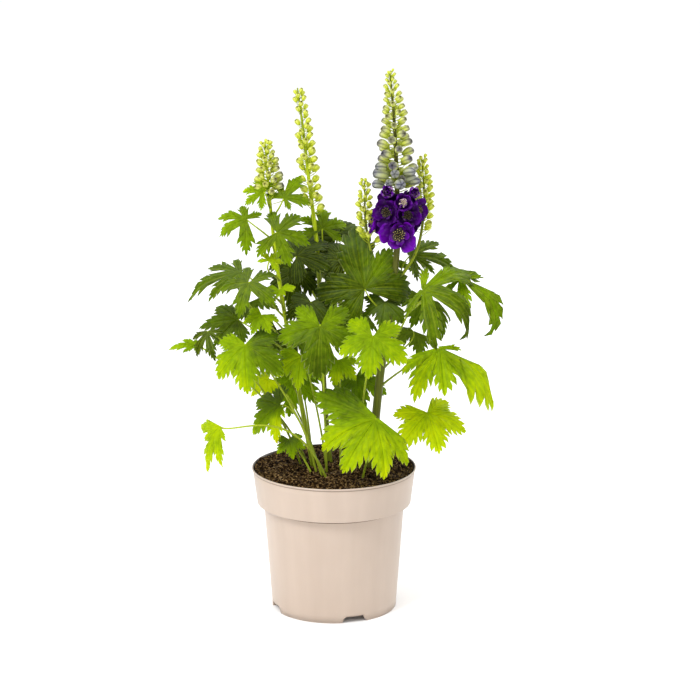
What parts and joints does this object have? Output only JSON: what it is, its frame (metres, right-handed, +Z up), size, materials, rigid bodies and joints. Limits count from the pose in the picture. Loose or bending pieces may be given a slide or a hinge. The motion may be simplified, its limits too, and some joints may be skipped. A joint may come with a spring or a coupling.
{
  "type": "potted delphinium",
  "caption": "Delphinium in a plastic nursery pot: flowering stems with violet florets above buds and cut leaves on long stalks.",
  "frame": {"origin": "the pot's axis at the level of its foot", "axes": "+Z up along the pot's axis, -Y towards the front, where the open florets look, +X to the right as seen from the front"},
  "size_m": [0.3855, 0.2139, 0.6265],
  "materials": {
    "pot": "satin",
    "soil": "matte",
    "leaf": "satin",
    "leaf_pale": "satin",
    "stem": "satin",
    "petal": "satin",
    "eye": "matte"
  },
  "bodies": {
    "root": {"pot": "pot", "soil": "soil", "leaf_front_low": "leaf_pale", "leaf_right_low": "leaf_pale", "leaf_front_middle": "leaf_pale", "leaf_far_left": "leaf", "leaf_left_hanging": "leaf", "leaf_left_bright": "leaf_pale", "leaf_centre_large": "leaf", "leaf_centre_under": "leaf", "leaf_centre_small": "leaf_pale", "leaf_left_folded": "leaf", "leaf_left_yellow": "leaf_pale", "leaf_left_trailing": "leaf_pale", "leaf_soil_small": "leaf", "leaf_back_right": "leaf", "leaf_back_left": "leaf", "stem_right": "stem", "stem_middle": "stem", "stem_left": "stem", "florets_front": "petal", "floret_right": "petal", "floret_left_upper": "petal", "floret_right_upper": "petal", "floret_left_low": "petal", "floret_back": "petal", "floret_back_upper": "petal", "eye_front": "eye", "eye_left": "eye", "eye_front_right": "eye", "eye_front_upper": "eye", "eye_right": "eye"}
  },
  "joints": []
}
